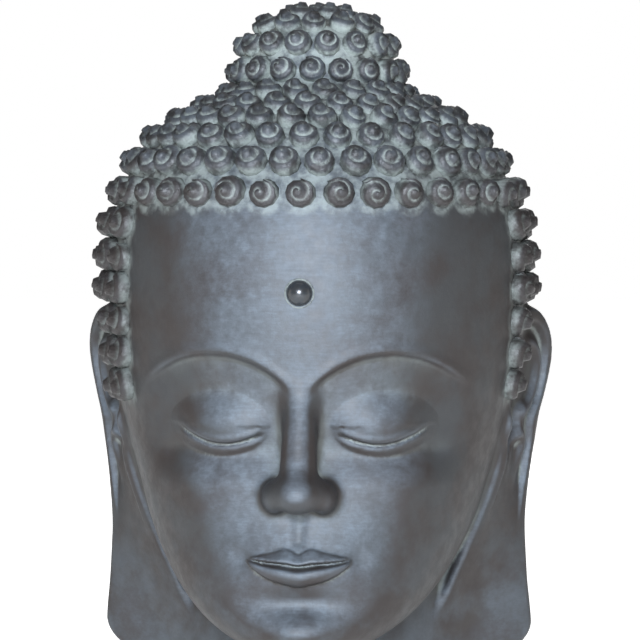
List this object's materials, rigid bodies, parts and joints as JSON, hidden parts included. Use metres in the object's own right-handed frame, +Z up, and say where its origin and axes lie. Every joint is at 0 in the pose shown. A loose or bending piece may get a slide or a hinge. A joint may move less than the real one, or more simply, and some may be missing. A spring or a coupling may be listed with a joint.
{
  "type": "garden head sculpture",
  "caption": "Life-size-plus fiberclay head sculpture with snail-shell curls, crown bump, long ear lobes and lowered eyes, cut flat below the neck to stand by itself.",
  "frame": {"origin": "on the flat base, on the head's middle plane, below the middle of the skull", "axes": "+Z up from the base to the crown, the face looks along -Y, +X towards the head's left ear"},
  "size_m": [0.4652, 0.4944, 0.7],
  "materials": {
    "fiberclay": "dark slate-grey fiberclay with a satin surface, paler dusty patina in the hollows"
  },
  "bodies": {
    "root": {"fiberclay_head": "fiberclay"}
  },
  "joints": []
}
